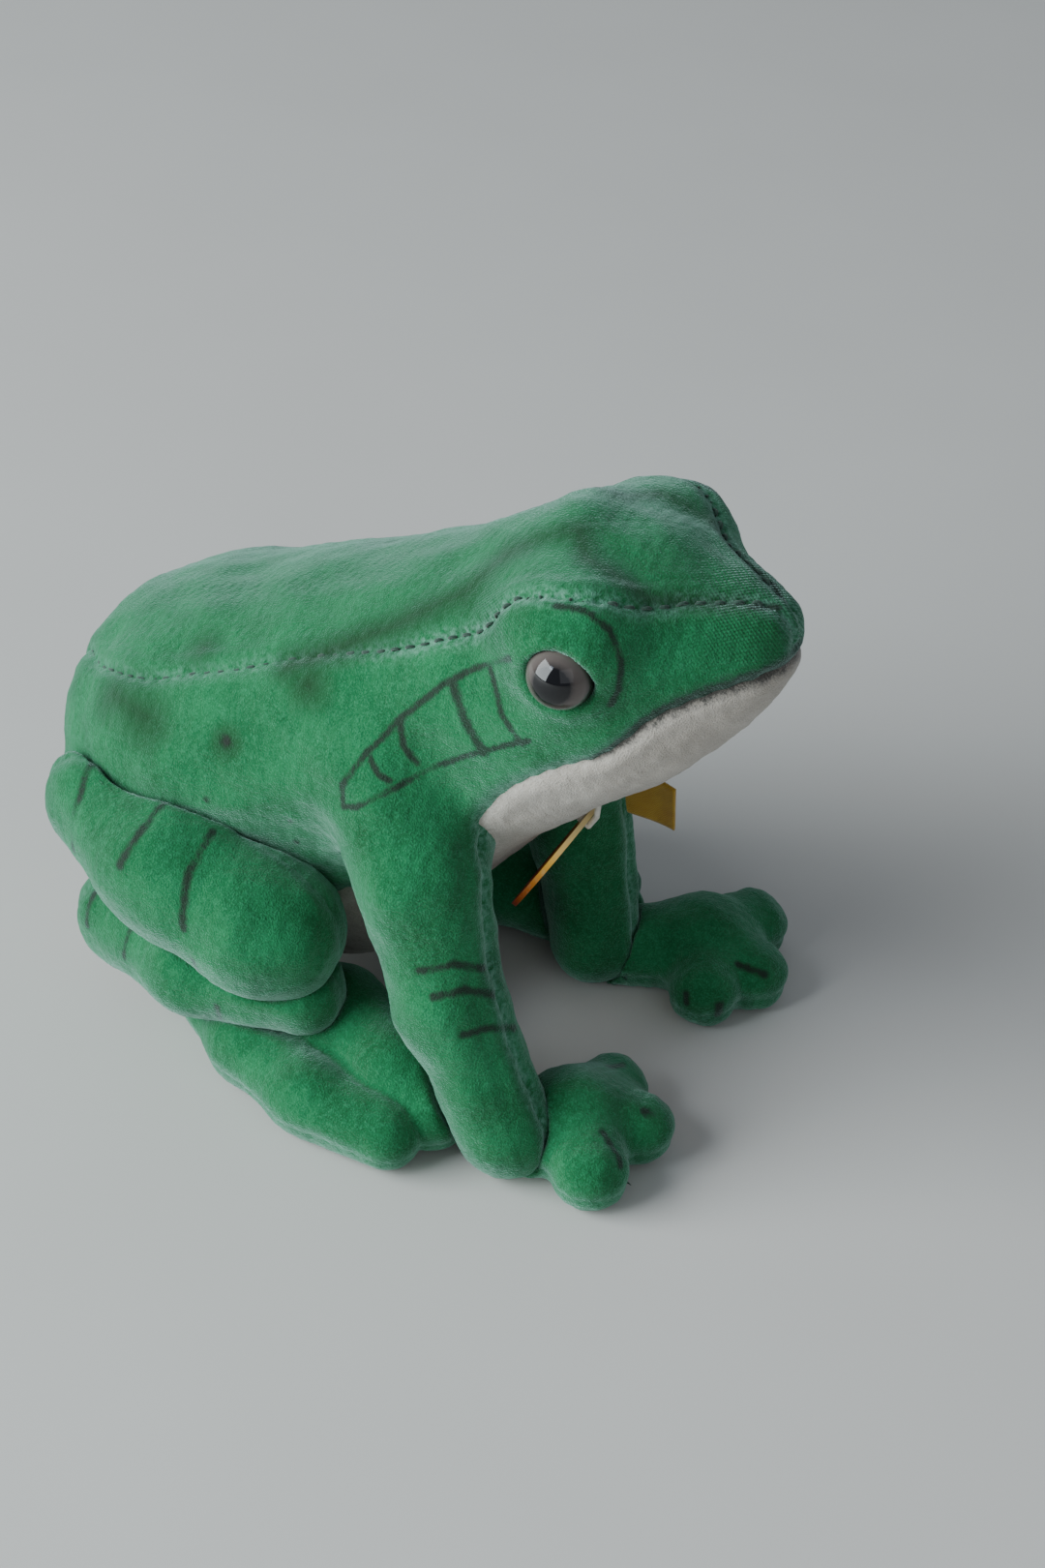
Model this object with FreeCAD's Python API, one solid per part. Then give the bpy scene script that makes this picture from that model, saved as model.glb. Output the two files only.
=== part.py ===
import FreeCAD, Part
import math
import os
from FreeCAD import Vector

# Small stuffed velvet frog, sitting. Millimetres, nose towards +X, the frog's left towards +Y, +Z up.
# Every cover is a cloth shell round its own stuffing, so each shape is built twice: full size and
# one cloth thickness smaller.

# ---- driving dimensions ----
cloth = 1.0                     # velvet with its pile
gap = 0.5                       # air between pieces that move apart
hip_swing = 15                  # degrees the hind leg opens outward
eye_r = 3.8
eye_at = (27.5, 15.6, 66.4)
eye_faces = (0.15, 0.97, 0.15)
iris_r = 3.3
pupil_r = 1.9
wire_r = 0.25
wire_loop_r = 1.15
brow_at = (26.5, 11.2, 68.3)
brow_r = (8.2, 6.8, 7.4)
tag_r = 8.0
tag_thick = 0.6
tag_centre = (20.6, -0.5, 30.4)
tag_normal = (0.87, 0.05, -0.49)
tag_hole_r = 0.7
tag_hole_in = 1.6               # from the rim
label_size = (7.0, 0.5, 6.5)
label_corner = (19.5, 18.4, 24)
thread_r = 0.35
stitch_pitch = 2.0
hip_axis = (-31.0, 17.5)

# trunk and head in one: x, underside, top, half width, where the widest level lies between
# underside and top, and how strongly the flanks draw in below it to let the thighs sit there
trunk_stations = [(-43.5, 23, 34.5, 4, 0.5, 0), (-41, 14, 42, 12, 0.55, 0.2), (-34, 8, 49, 18, 0.6, 0.4),
                  (-22, 4, 54.5, 22, 0.6, 0.4), (-12, 4.5, 59, 21.5, 0.6, 0.4), (-3, 8, 63, 20.5, 0.6, 0.35),
                  (6, 17, 67.5, 18.5, 0.57, 0.25), (13, 27, 72, 17, 0.54, 0.1), (20, 35, 76.5, 16.3, 0.5, 0),
                  (26, 40.5, 77, 16, 0.5, 0), (33, 46, 76, 14.2, 0.5, 0), (39, 52, 74.3, 10.5, 0.5, 0),
                  (44, 59, 73, 6.5, 0.5, 0), (47.5, 65, 71.5, 3, 0.5, 0)]

# limbs as runs of (x, y, z, radius) on the frog's right, mirrored for the left
arm_bend = {"right": (18, 20), "left": (14.5, 17.5)}
arm_end = {"right": (26, 21), "left": (18.5, 15.5)}
palm = {"right": (31.5, 14.5), "left": (30, 22.5)}
hand_turn = {"right": 0, "left": -20}
thigh_run = [(-30, 17, 29, 8.5), (-18, 21.5, 27, 9.2), (-4, 22, 23.5, 8.5), (-1, 21.5, 22.5, 8)]
shin_run = [(-2, 21.5, 13.5, 5.5), (-16, 22, 11.5, 6.5), (-30, 17, 11, 6.5)]
foot_outline = [(-26, 14), (-20, 20), (-12, 25), (0, 29), (10, 30), (18, 29), (22.5, 25.5),
                (19, 20), (10, 15), (0, 12), (-12, 10), (-22, 9)]
foot_height = 12.0
heel = {"right": (230, 2.4), "left": (168, 3.4)}     # the lobe that reaches back to the arm
hand_lobes = [(-75, 9), (-62, 11.6), (-48, 12.6), (-34, 11.8), (-10, 9.8), (14, 11), (28, 11.8), (42, 11),
              (56, 10.4), (70, 11.8), (83, 12.6), (97, 11.2), (118, 8), (150, 6.8), (200, 6.8), (240, 7), (265, 7.8)]
hand_height = 9.0

# the cream panel lies below this line seen from the side; the back strip is this wide
belly_line = [(60, 72), (47.5, 66.9), (43.8, 65.6), (40, 63.9), (36.5, 61.5), (34, 58.5), (31.5, 56), (29, 54.6),
              (26, 52.6), (21.5, 48.5), (18.5, 44), (16.5, 39.5), (8, 32), (0, 25), (-20, 17), (-60, 14)]
strip_half_width = [(50, 0.8), (44, 1.5), (41, 3.2), (36, 6.8), (32, 11), (28.5, 13.6), (25, 14.4), (20, 14), (15, 13.3),
                    (6, 13.6), (-7, 14.3), (-19, 15.6), (-28, 15.5), (-35, 12.5), (-40, 8), (-47, 3)]


def closed_curve(pts):
    """Closed smooth curve through the points."""
    curve = Part.BSplineCurve()
    curve.interpolate(Points=pts, PeriodicFlag=True)
    return Part.Wire([curve.toShape()])


def ring(centre, across, up, r, n=10):
    """Closed smooth curve through n points of a circle."""
    angles = [2 * math.pi * k / n for k in range(n)]
    return closed_curve([centre + across * (r * math.sin(a)) + up * (r * math.cos(a)) for a in angles])


def trunk(inset):
    """Trunk and head with the two brow bumps, drawn in by the given amount."""
    wires = []
    last = len(trunk_stations) - 1
    for k, (x, low, top, half, widest, tuck) in enumerate(trunk_stations):
        x += inset if k == 0 else (-inset if k == last else 0)
        level = low + (top - low) * widest
        pts = []
        for j in range(14):
            a = 2 * math.pi * j / 14
            rise = math.cos(a) * ((top if math.cos(a) > 0 else low) - level) * (1 if math.cos(a) > 0 else -1)
            reach = math.sin(a) * (half - inset) * (1 - tuck * max(0, -math.cos(a)))
            pts.append(Vector(x, reach, level + rise - inset * math.cos(a)))
        wires.append(closed_curve(pts))
    solid = Part.makeLoft(wires, True, False)
    for s in (1, -1):
        ball = Part.makeSphere(1)
        stretch = FreeCAD.Matrix()
        stretch.scale(brow_r[0] - inset, brow_r[1] - inset, brow_r[2] - inset)
        ball = ball.transformGeometry(stretch)
        ball.translate(Vector(brow_at[0], s * brow_at[1], brow_at[2]))
        solid = solid.fuse(ball)
    return solid.removeSplitter()


def sausage(run, s, inset=0.0):
    """Stuffed tube with round ends through a run of (x, y, z, radius)."""
    pts = [Vector(x, s * y, z) for x, y, z, r in run]
    radii = [r - inset for x, y, z, r in run]
    ways = []
    for k in range(len(pts)):
        a, b = pts[max(k - 1, 0)], pts[min(k + 1, len(pts) - 1)]
        ways.append((b - a).normalize())
    stations = [(pts[0] - ways[0] * (radii[0] * f), ways[0], radii[0] * q) for f, q in ((0.95, 0.3), (0.7, 0.71))]
    stations += list(zip(pts, ways, radii))
    stations += [(pts[-1] + ways[-1] * (radii[-1] * f), ways[-1], radii[-1] * q) for f, q in ((0.7, 0.71), (0.95, 0.3))]
    wires = []
    for centre, way, r in stations:
        across = way.cross(Vector(0, 1, 0)).normalize()
        wires.append(ring(centre, across, across.cross(way), r))
    return Part.makeLoft(wires, True, False)


def pillow(outline, height, inset=0.0):
    """Flat-bottomed stuffed pad of the given outline, rounded over at the rim."""
    xs, ys = [x for x, y in outline], [y for x, y in outline]
    cx, cy = (min(xs) + max(xs)) / 2, (min(ys) + max(ys)) / 2
    hx, hy = (max(xs) - min(xs)) / 2, (max(ys) - min(ys)) / 2
    wires = []
    for f, rim in ((0.0, 1.2), (0.16, 0.15), (0.4, 0.0), (0.75, 1.2), (0.93, 2.8), (1.0, 4.2)):
        z = inset + f * (height - 2 * inset)
        d = rim + inset
        wires.append(closed_curve([Vector(cx + (x - cx) * (1 - d / hx), cy + (y - cy) * (1 - d / hy), z)
                                   for x, y in outline]))
    return Part.makeLoft(wires, True, False)


def prism(points, plane, low, high):
    """Polygon in the named plane, pushed through between two levels."""
    order = {"xz": lambda a, b, c: Vector(a, c, b), "yz": lambda a, b, c: Vector(c, a, b),
             "xy": lambda a, b, c: Vector(a, b, c)}[plane]
    pts = [order(a, b, low) for a, b in points]
    face = Part.Face(Part.makePolygon(pts + [pts[0]]))
    return face.extrude(order(0, 0, high) - order(0, 0, low))


def behind_curve(outline, straight, place, way):
    """Block with one smooth long edge; the outline's last points, counted by straight, are joined
    by straight lines, or by a second smooth edge where they are as many as the first."""
    pts = [place(a, b) for a, b in outline]
    runs = [pts[:-straight], pts[-straight:]]
    edges = []
    for run in runs:
        if len(run) > 2:
            curve = Part.BSplineCurve()
            curve.interpolate(run)
            edges.append(curve.toShape())
        else:
            edges.append(Part.makeLine(*run))
    edges.insert(1, Part.makeLine(runs[0][-1], runs[1][0]))
    edges.append(Part.makeLine(runs[1][-1], runs[0][0]))
    return Part.Face(Part.Wire(edges)).extrude(way)


def biggest(shape):
    """The largest solid of a cut, without its loose slivers."""
    return max(shape.Solids, key=lambda b: b.Volume)


def stitches(points, cover=None):
    """A row of separate stitches lying along a line of points, each raised until it clears the cover."""
    row = []
    for a, b in zip(points, points[1:]):
        way = b - a
        count = max(1, round(way.Length / stitch_pitch))
        for k in range(count):
            start = a + way * ((k + 0.15) / count)
            stitch = Part.makeCylinder(thread_r, way.Length * 0.7 / count, start, way)
            while cover and stitch.common(cover).Volume > 1e-6:
                stitch.translate(Vector(0, 0, 0.1))
            row.append(stitch)
    return Part.makeCompound(row)


def surface_z(solid, x, y, top=True):
    """Height where a vertical line through x, y leaves the solid."""
    line = Part.makeLine(Vector(x, y, -20), Vector(x, y, 120)).common(solid)
    zs = [v.Point.z for v in line.Vertexes]
    return max(zs) if top else min(zs)


def shell_pair(outer, inner, splitter):
    """Cloth cover between two shapes, parted along its seam into two pieces."""
    cover = outer.cut(inner)
    return cover.common(splitter), cover.cut(splitter)


parts = {}
body_out, body_in, body_mid = trunk(0), trunk(cloth), trunk(cloth / 2)
above_mid = prism([(-60, 20), (-60, 120), (60, 120), (60, 74)], "xz", -40, 40)
below_mouth = behind_curve(belly_line + [(-60, -10), (60, -10)], 2,
                           lambda x, z: Vector(x, -40, z), Vector(0, 80, 0))
strip_outline = [(x, w) for x, w in strip_half_width] + [(x, -w) for x, w in reversed(strip_half_width)]
strip = behind_curve(strip_outline, len(strip_half_width), lambda x, y: Vector(x, y, 0),
                     Vector(0, 0, 100)).common(above_mid)

eye_pockets = []
loops = {}
for side, s in (("right", -1), ("left", 1)):
    at = Vector(eye_at[0], s * eye_at[1], eye_at[2])
    face = Vector(eye_faces[0], s * eye_faces[1], eye_faces[2]).normalize()
    ball = Part.makeSphere(eye_r, at)
    back = Part.makeBox(20, 20, 20, Vector(-10, -10, -20))
    back.Placement = FreeCAD.Placement(at - face * 0.4, FreeCAD.Rotation(Vector(0, 0, 1), face))
    parts["eye_glass_" + side] = ball.cut(back)
    ring_disc = Part.makeCylinder(iris_r, 0.4, at - face * 0.8, face)
    pupil = Part.makeCylinder(pupil_r, 0.4, at - face * 0.8, face)
    parts["eye_iris_" + side] = ring_disc.cut(pupil)
    parts["eye_pupil_" + side] = pupil
    loop_at = at - face * 2.4
    parts["eye_wire_" + side] = Part.makeTorus(wire_loop_r, wire_r, loop_at, Vector(1, 0, 0))
    eye_pockets += [ball, Part.makeCylinder(1.6, 4.4, at - face * 4.4, face)]
    loops[side] = loop_at + Vector(wire_r + thread_r + 0.05, 0, 0)
eye_line = Part.makeCylinder(thread_r, (loops["left"] - loops["right"]).Length, loops["right"],
                             loops["left"] - loops["right"])
parts["eye_thread"] = eye_line
eye_room = eye_pockets[0].multiFuse(eye_pockets[1:] + [eye_line])

skin = body_out.cut(body_in).cut(eye_room)
parts["body_stuffing"] = body_in.cut(eye_room)
back_panel = skin.common(strip)
belly_panel = skin.cut(strip).common(below_mouth)
flanks = skin.cut(strip).cut(below_mouth)
parts["back_panel"] = biggest(back_panel)
parts["belly_panel"] = biggest(belly_panel)

arms, arm_rooms = {}, {}
for side, s in (("right", -1), ("left", 1)):
    # hand: a fan of three blunt lobes with a flat sole, and a heel towards the arm
    fan = []
    heel_way, heel_reach = heel[side]
    for degrees, reach in hand_lobes:
        reach += heel_reach * max(0, math.cos(math.radians(degrees - heel_way))) ** 4
        a = math.radians(degrees + hand_turn[side])
        fan.append((palm[side][0] + reach * math.cos(a), -palm[side][1] + reach * math.sin(a)))
    if s > 0:
        fan = [(x, -y) for x, y in reversed(fan)]
    hand_out, hand_in = pillow(fan, hand_height), pillow(fan, hand_height, cloth)
    upper = Part.makeBox(200, 200, 50, Vector(-100, -100, hand_height * 0.42))
    parts["hand_top_" + side], parts["hand_sole_" + side] = shell_pair(hand_out, hand_in, upper)
    parts["hand_stuffing_" + side] = hand_in

    # arm: its outer half is cut in one with the flank, the inner half is a piece of its own
    run = [(5, 12, 44, 9), (12, 17, 34, 7.5), (*arm_bend[side], 20, 6.2), (*arm_end[side], 5.9, 5.6)]
    arm_out, arm_in = sausage(run, s), sausage(run, s, cloth)
    seam = [(s * y, z) for x, y, z, r in run]
    outer_side = prism([(seam[0][0], 90)] + seam + [(seam[-1][0], -20), (s * 80, -20), (s * 80, 90)], "yz", -60, 60)
    arm_skin = arm_out.cut(arm_in).cut(hand_out)
    flank = biggest(flanks.common(Part.makeBox(200, 60, 200, Vector(-100, 0 if s > 0 else -60, -50))))
    sleeve = biggest(arm_skin.cut(body_mid).common(outer_side))
    parts["side_panel_" + side] = biggest(flank.fuse(sleeve).cut(parts["belly_panel"]).cut(parts["back_panel"]))
    parts["arm_inner_" + side] = biggest(arm_skin.cut(body_out).cut(outer_side))
    parts["arm_stuffing_" + side] = biggest(arm_in.cut(body_out).cut(hand_out))
    arms[side] = arm_out
    arm_rooms[side] = [(sausage(run, s, -gap - w), pillow(fan, hand_height, -gap - w)) for w in (0, cloth)]

# hind legs: folded thigh and shin on a flat foot. Pressed against the trunk they go flat there,
# so both cover and stuffing are cut back from it, at rest and swung out.
body_rooms = [trunk(-gap), trunk(-gap - cloth)]
for side, s in (("right", -1), ("left", 1)):
    clear = []
    for k in (0, 1):
        turned = body_rooms[k].copy()
        turned.rotate(Vector(hip_axis[0], s * hip_axis[1], 0), Vector(0, 0, 1), -s * hip_swing)
        clear.append([body_rooms[k], turned] + list(arm_rooms[side][k]))
    outline = [(x, s * y) for x, y in foot_outline][::-s]
    stitch = Part.makeCylinder(0.8, 6, Vector(hip_axis[0], s * 16, 29), Vector(0, s, 0))
    whole = {"thigh": (sausage(thigh_run, s), sausage(thigh_run, s, cloth)),
             "shin": (sausage(shin_run, s), sausage(shin_run, s, cloth)),
             "foot": (pillow(outline, foot_height), pillow(outline, foot_height, cloth))}
    sitting_on = {"thigh": [], "shin": ["thigh"], "foot": ["shin", "thigh"]}
    for piece, (outer, inner) in whole.items():
        above = [whole[name][0] for name in sitting_on[piece]]
        outer = outer.cut(clear[0] + above)
        inner = biggest(inner.cut(clear[1] + above))
        if piece == "foot":
            splitter, names = Part.makeBox(200, 200, 50, Vector(-100, -100, foot_height * 0.42)), ("top", "sole")
        else:
            run = sorted((x, s * y) for x, y, z, r in (thigh_run if piece == "thigh" else shin_run))
            splitter = prism([(-90, run[0][1])] + run + [(90, run[-1][1]), (90, s * 90), (-90, s * 90)], "xy", -20, 90)
            names = ("outer", "inner")
        one, two = shell_pair(outer.cut(stitch), inner, splitter)
        parts[piece + "_" + names[0] + "_" + side] = biggest(one)
        parts[piece + "_" + names[1] + "_" + side] = biggest(two)
        parts[piece + "_stuffing_" + side] = biggest(inner.cut(stitch))
    parts["hip_stitch_" + side] = biggest(stitch.cut(clear[0]))

# seam stitches along both edges of the back strip, and the hand-sewn closing under the belly
lift = thread_r * 1.5
line = []
for (xa, wa), (xb, wb) in zip(strip_half_width, strip_half_width[1:]):
    for k in range(4):
        x, y = xa + (xb - xa) * k / 4, wa + (wb - wa) * k / 4 + 0.1
        if -38 < x < 44:
            z = surface_z(body_out, x, y)
            fall = (surface_z(body_out, x, y - 0.4) - z) / 0.4
            line.append(Vector(x, y, z) + Vector(0, fall, 1).normalize() * lift)
parts["back_seam_thread_left"] = stitches(line, body_out)
parts["back_seam_thread_right"] = parts["back_seam_thread_left"].mirror(Vector(0, 0, 0), Vector(0, 1, 0))
parts["closing_stitch"] = stitches([Vector(x, 0, surface_z(body_out, x, 0, False) - lift)
                                    for x in (-24, -21, -18, -15, -12, -9, -6)])

# cloth label in the front seam of the left arm
label = Part.makeBox(*label_size, Vector(*label_corner))
parts["arm_label"] = biggest(label.cut(arms["left"]))

# round paper tag on a loop of thread under the throat; the loop runs through the hole, up both
# faces past the rim, and closes at the throat
c, n = Vector(*tag_centre), Vector(*tag_normal).normalize()
up = Vector(0, 1, 0).cross(n) * -1
hole = c + up * (tag_r - tag_hole_in)
disc = Part.makeCylinder(tag_r, tag_thick, c - n * (tag_thick / 2), n)
parts["tag_disc"] = disc.cut(Part.makeCylinder(tag_hole_r, 4, hole - n * 2, n))
over_rim = hole + up * (tag_hole_in + thread_r)
tie_top = Vector(over_rim.x + 0.8, over_rim.y, surface_z(body_out, over_rim.x + 0.8, over_rim.y, False) - gap)
stand_off = n * (tag_thick / 2 + thread_r + 0.05)
loop = [Part.makeSphere(thread_r, tie_top), Part.makeCylinder(thread_r, stand_off.Length * 2, hole - stand_off, n)]
for face_off in (stand_off, stand_off * -1):
    path = [hole + face_off, over_rim + face_off, tie_top]
    loop += [Part.makeSphere(thread_r, corner) for corner in path[:2]]
    loop += [Part.makeCylinder(thread_r, (b - a).Length, a, b - a) for a, b in zip(path, path[1:])]
parts["tag_thread"] = loop[0].multiFuse(loop[1:])
print("tag hangs from", tie_top)

# centre the whole frog on its bounding box and stand it on z = 0
box = Part.makeCompound(list(parts.values())).optimalBoundingBox(False)
shift = Vector(-(box.XMin + box.XMax) / 2, -(box.YMin + box.YMax) / 2, -box.ZMin)
print("shift", shift, "size", box.XLength, box.YLength, box.ZLength)

os.makedirs("parts", exist_ok=True)
for name, shape in parts.items():
    shape.translate(shift)
    print(name, shape.ShapeType, len(shape.Solids), round(shape.Volume, 1), shape.isValid())
    shape.exportStep("parts/" + name + ".step")
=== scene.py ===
import math
import bpy
import numpy as np
from mathutils import Matrix, Vector
from mathutils.kdtree import KDTree


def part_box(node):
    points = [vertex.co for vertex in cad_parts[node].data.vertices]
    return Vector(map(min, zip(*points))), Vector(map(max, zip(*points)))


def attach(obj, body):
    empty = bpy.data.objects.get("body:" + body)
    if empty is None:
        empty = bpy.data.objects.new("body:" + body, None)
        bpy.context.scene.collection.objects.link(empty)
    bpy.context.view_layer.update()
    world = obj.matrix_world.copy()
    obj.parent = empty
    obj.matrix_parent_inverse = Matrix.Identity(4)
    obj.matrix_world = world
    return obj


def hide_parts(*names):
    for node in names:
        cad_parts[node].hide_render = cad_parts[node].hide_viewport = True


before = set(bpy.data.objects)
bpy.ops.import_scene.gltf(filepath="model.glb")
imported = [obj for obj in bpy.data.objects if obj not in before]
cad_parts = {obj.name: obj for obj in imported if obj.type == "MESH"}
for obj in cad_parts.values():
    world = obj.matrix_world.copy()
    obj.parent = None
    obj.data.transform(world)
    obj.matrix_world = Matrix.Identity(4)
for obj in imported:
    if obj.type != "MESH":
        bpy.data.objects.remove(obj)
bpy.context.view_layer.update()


# ---- Drawing -------------------------------------------------------------------------------------
# The frog is drawn in millimetres, nose to +X and its left to +Y, with zero on the floor under the
# middle of the trunk. The shift carries the drawing to where the frame's own pieces stand.
MM = 0.001
nose_x = 47.5
nose_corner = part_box("back_panel")[1]
core_low, core_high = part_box("body_stuffing")
drawing_shift = np.array([nose_corner.x / MM - nose_x, (core_low.y + core_high.y) / 2 / MM, 0.0])
cloth = 0.8
sides = {"right": -1, "left": 1}


# ---- Packed form of trunk, head and arms ---------------------------------------------------------
# Trunk and head are one egg-sectioned bag packed hard, with a bump round each eye; the arms are two
# tubes that run into it at the shoulder. The eyes are sunk into pockets pulled in by their thread.
# stations: x, underside, top, half width, where the widest level lies, how far the flanks draw in below it
trunk_stations = [(-43.5, 23, 34.5, 4, 0.5, 0), (-41, 14, 42, 12, 0.55, 0.2), (-34, 8, 49, 18, 0.6, 0.4),
                  (-22, 4, 54.5, 22, 0.6, 0.4), (-12, 4.5, 59, 21.5, 0.6, 0.4),
                  (-3, 8, 63, 20.5, 0.6, 0.35), (6, 17, 67.5, 18.5, 0.57, 0.25),
                  (13, 27, 72, 17, 0.54, 0.1), (20, 35, 76.5, 16.3, 0.5, 0), (26, 40.5, 77, 16, 0.5, 0),
                  (33, 46, 76, 14.2, 0.5, 0), (39, 52, 74.3, 10.5, 0.5, 0), (44, 59, 73, 6.5, 0.5, 0),
                  (nose_x, 65, 71.5, 3, 0.5, 0)]
brow_at, brow_size = (26.5, 11.2, 68.3), (8.2, 6.8, 7.4)
eye_at, eye_radius = (27.5, 15.6, 66.4), 3.8
pocket_radius = eye_radius - 0.15       # the pile closes tight round the glass
pocket_fillet = 1.5
shoulder_fillet = 3.5
arm_bend = {"right": (18, 20), "left": (14.5, 17.5)}
arm_end = {"right": (26, 21), "left": (18.5, 15.5)}


def along(x, table, column=1):
    """Value of a table's column at x, on a smooth curve through its rows."""
    rows = sorted(table)
    xs = np.array([r[0] for r in rows], float)
    ys = np.array([r[column] for r in rows], float)
    steps = np.diff(ys) / np.diff(xs)
    slopes = np.concatenate([steps[:1], (steps[1:] + steps[:-1]) / 2, steps[-1:]])
    x = np.clip(x, xs[0], xs[-1])
    k = np.clip(np.searchsorted(xs, x) - 1, 0, len(xs) - 2)
    h = xs[k + 1] - xs[k]
    t = (x - xs[k]) / h
    return (ys[k] * (1 + 2 * t) * (1 - t) ** 2 + ys[k + 1] * t * t * (3 - 2 * t)
            + h * (slopes[k] * t * (1 - t) ** 2 - slopes[k + 1] * t * t * (1 - t)))


def joined(a, b, k):
    """Two forms run together with a fillet of about k."""
    h = np.clip(0.5 + 0.5 * (b - a) / k, 0, 1)
    return b * (1 - h) + a * h - k * h * (1 - h)


def cut_back(a, b, k):
    """Form a held back from form b, with a rounded edge."""
    return -joined(-a, b, k)


def ball(p, at, size):
    """Egg form: negative inside, about millimetres outside."""
    q = np.linalg.norm((p - at) / size, axis=1)
    return (q - 1) * np.min(size)


def tube(p, run, k=2.0):
    """Stuffed tube through a run of (x, y, z, radius)."""
    total = None
    for a, b in zip(run, run[1:]):
        a, b = np.array(a, float), np.array(b, float)
        way = b[:3] - a[:3]
        t = np.clip((p - a[:3]) @ way / (way @ way), 0, 1)
        d = np.linalg.norm(p - a[:3] - t[:, None] * way, axis=1) - (a[3] + (b[3] - a[3]) * t)
        total = d if total is None else joined(total, d, k)
    return total


def mirrored(p, side):
    """Points of the left half seen as if they were on the right."""
    return p * (1, -sides[side], 1)


def trunk_form(p):
    """Trunk and head: an egg-shaped section at every station, with rounded nose and rump."""
    rim = 2.5
    x = p[:, 0]
    low, top, half, widest, tuck = (along(x, trunk_stations, c) for c in (1, 2, 3, 4, 5))
    level = low + (top - low) * widest
    v = p[:, 2] - level
    rise = np.maximum(np.where(v > 0, top - level, level - low) - rim, 0.6)
    reach = np.maximum(half - rim, 0.6)
    v = v / rise
    u = p[:, 1] / (reach * (1 - tuck * np.clip(-v, 0, 1)))
    d = (np.sqrt(u * u + v * v) - 1) * np.minimum(rise, reach)
    past = np.maximum(0, np.maximum(trunk_stations[0][0] + rim - x, x - trunk_stations[-1][0] + rim))
    return np.where(past > 0, np.sqrt(np.maximum(d, 0) ** 2 + past ** 2), d) - rim


def arm_run(side):
    return [(5, -12, 44, 9), (12, -17, 34, 7.5), (arm_bend[side][0], -arm_bend[side][1], 20, 6.2),
            (arm_end[side][0], -arm_end[side][1], 5.9, 5.6)]


def head_and_trunk(p):
    d = trunk_form(p)
    for side in sides:
        q = mirrored(p, side)
        d = joined(d, ball(q, np.array(brow_at) * (1, -1, 1), np.array(brow_size)), shoulder_fillet)
    return d


def eye_pocket(q):
    return ball(q, np.array(eye_at) * (1, -1, 1), np.full(3, pocket_radius))


def body_form(p):
    d = head_and_trunk(p)
    for side in sides:
        q = mirrored(p, side)
        d = joined(d, tube(q, arm_run(side)), shoulder_fillet)
        d = cut_back(d, eye_pocket(q), pocket_fillet)
    return d


# ---- Cloth cutting --------------------------------------------------------------------------------
# Every cover is a flat pattern piece drawn tight over its packing: here the surface of a form is
# found, parted along the seam lines, pressed in at the seams and given the cloth's own thickness.
rounds = 2
body_cell = 1.7                         # cell of the grid before halving
hand_cell = 1.3
floor_gap = 0.02


def slope(form, p, h=0.05):
    """Direction in which a form's value grows, straight out of its surface."""
    return np.stack([form(p + h * e) - form(p - h * e) for e in np.eye(3)], 1) / (2 * h)


def onto(form, p, turns=2):
    """Points drawn onto the surface of a form."""
    p = np.array(p, float)
    for turn in range(turns):
        g = slope(form, p)
        p = p - g * (form(p) / np.maximum((g * g).sum(1), 1e-3))[:, None]
    return p


def eased(verts, quads, share):
    """Points moved part of the way to the middle of their neighbours."""
    total = np.zeros_like(verts)
    seen = np.zeros(len(verts))
    for k in range(4):
        np.add.at(total, quads[:, k], verts[quads[:, (k + 1) % 4]] + verts[quads[:, k - 1]])
        np.add.at(seen, quads[:, k], 2)
    return verts * (1 - share) + share * total / seen[:, None]


def unpinched(inside):
    """Grid corners with every chequered square filled in, so that a skin never touches itself."""
    found = True
    while found:
        found = False
        for first, second in ((0, 1), (1, 2), (2, 0)):
            squares = []
            for i, j in ((0, 0), (1, 1), (1, 0), (0, 1)):
                part = [slice(None)] * 3
                part[first] = slice(i, inside.shape[first] - 1 + i)
                part[second] = slice(j, inside.shape[second] - 1 + j)
                squares.append(inside[tuple(part)])
            a, b, c, d = squares
            chequered = (a == b) & (c == d) & (a != c)
            found = found or bool(chequered.any())
            for square in squares:
                square[chequered] = True
    return inside


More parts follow.
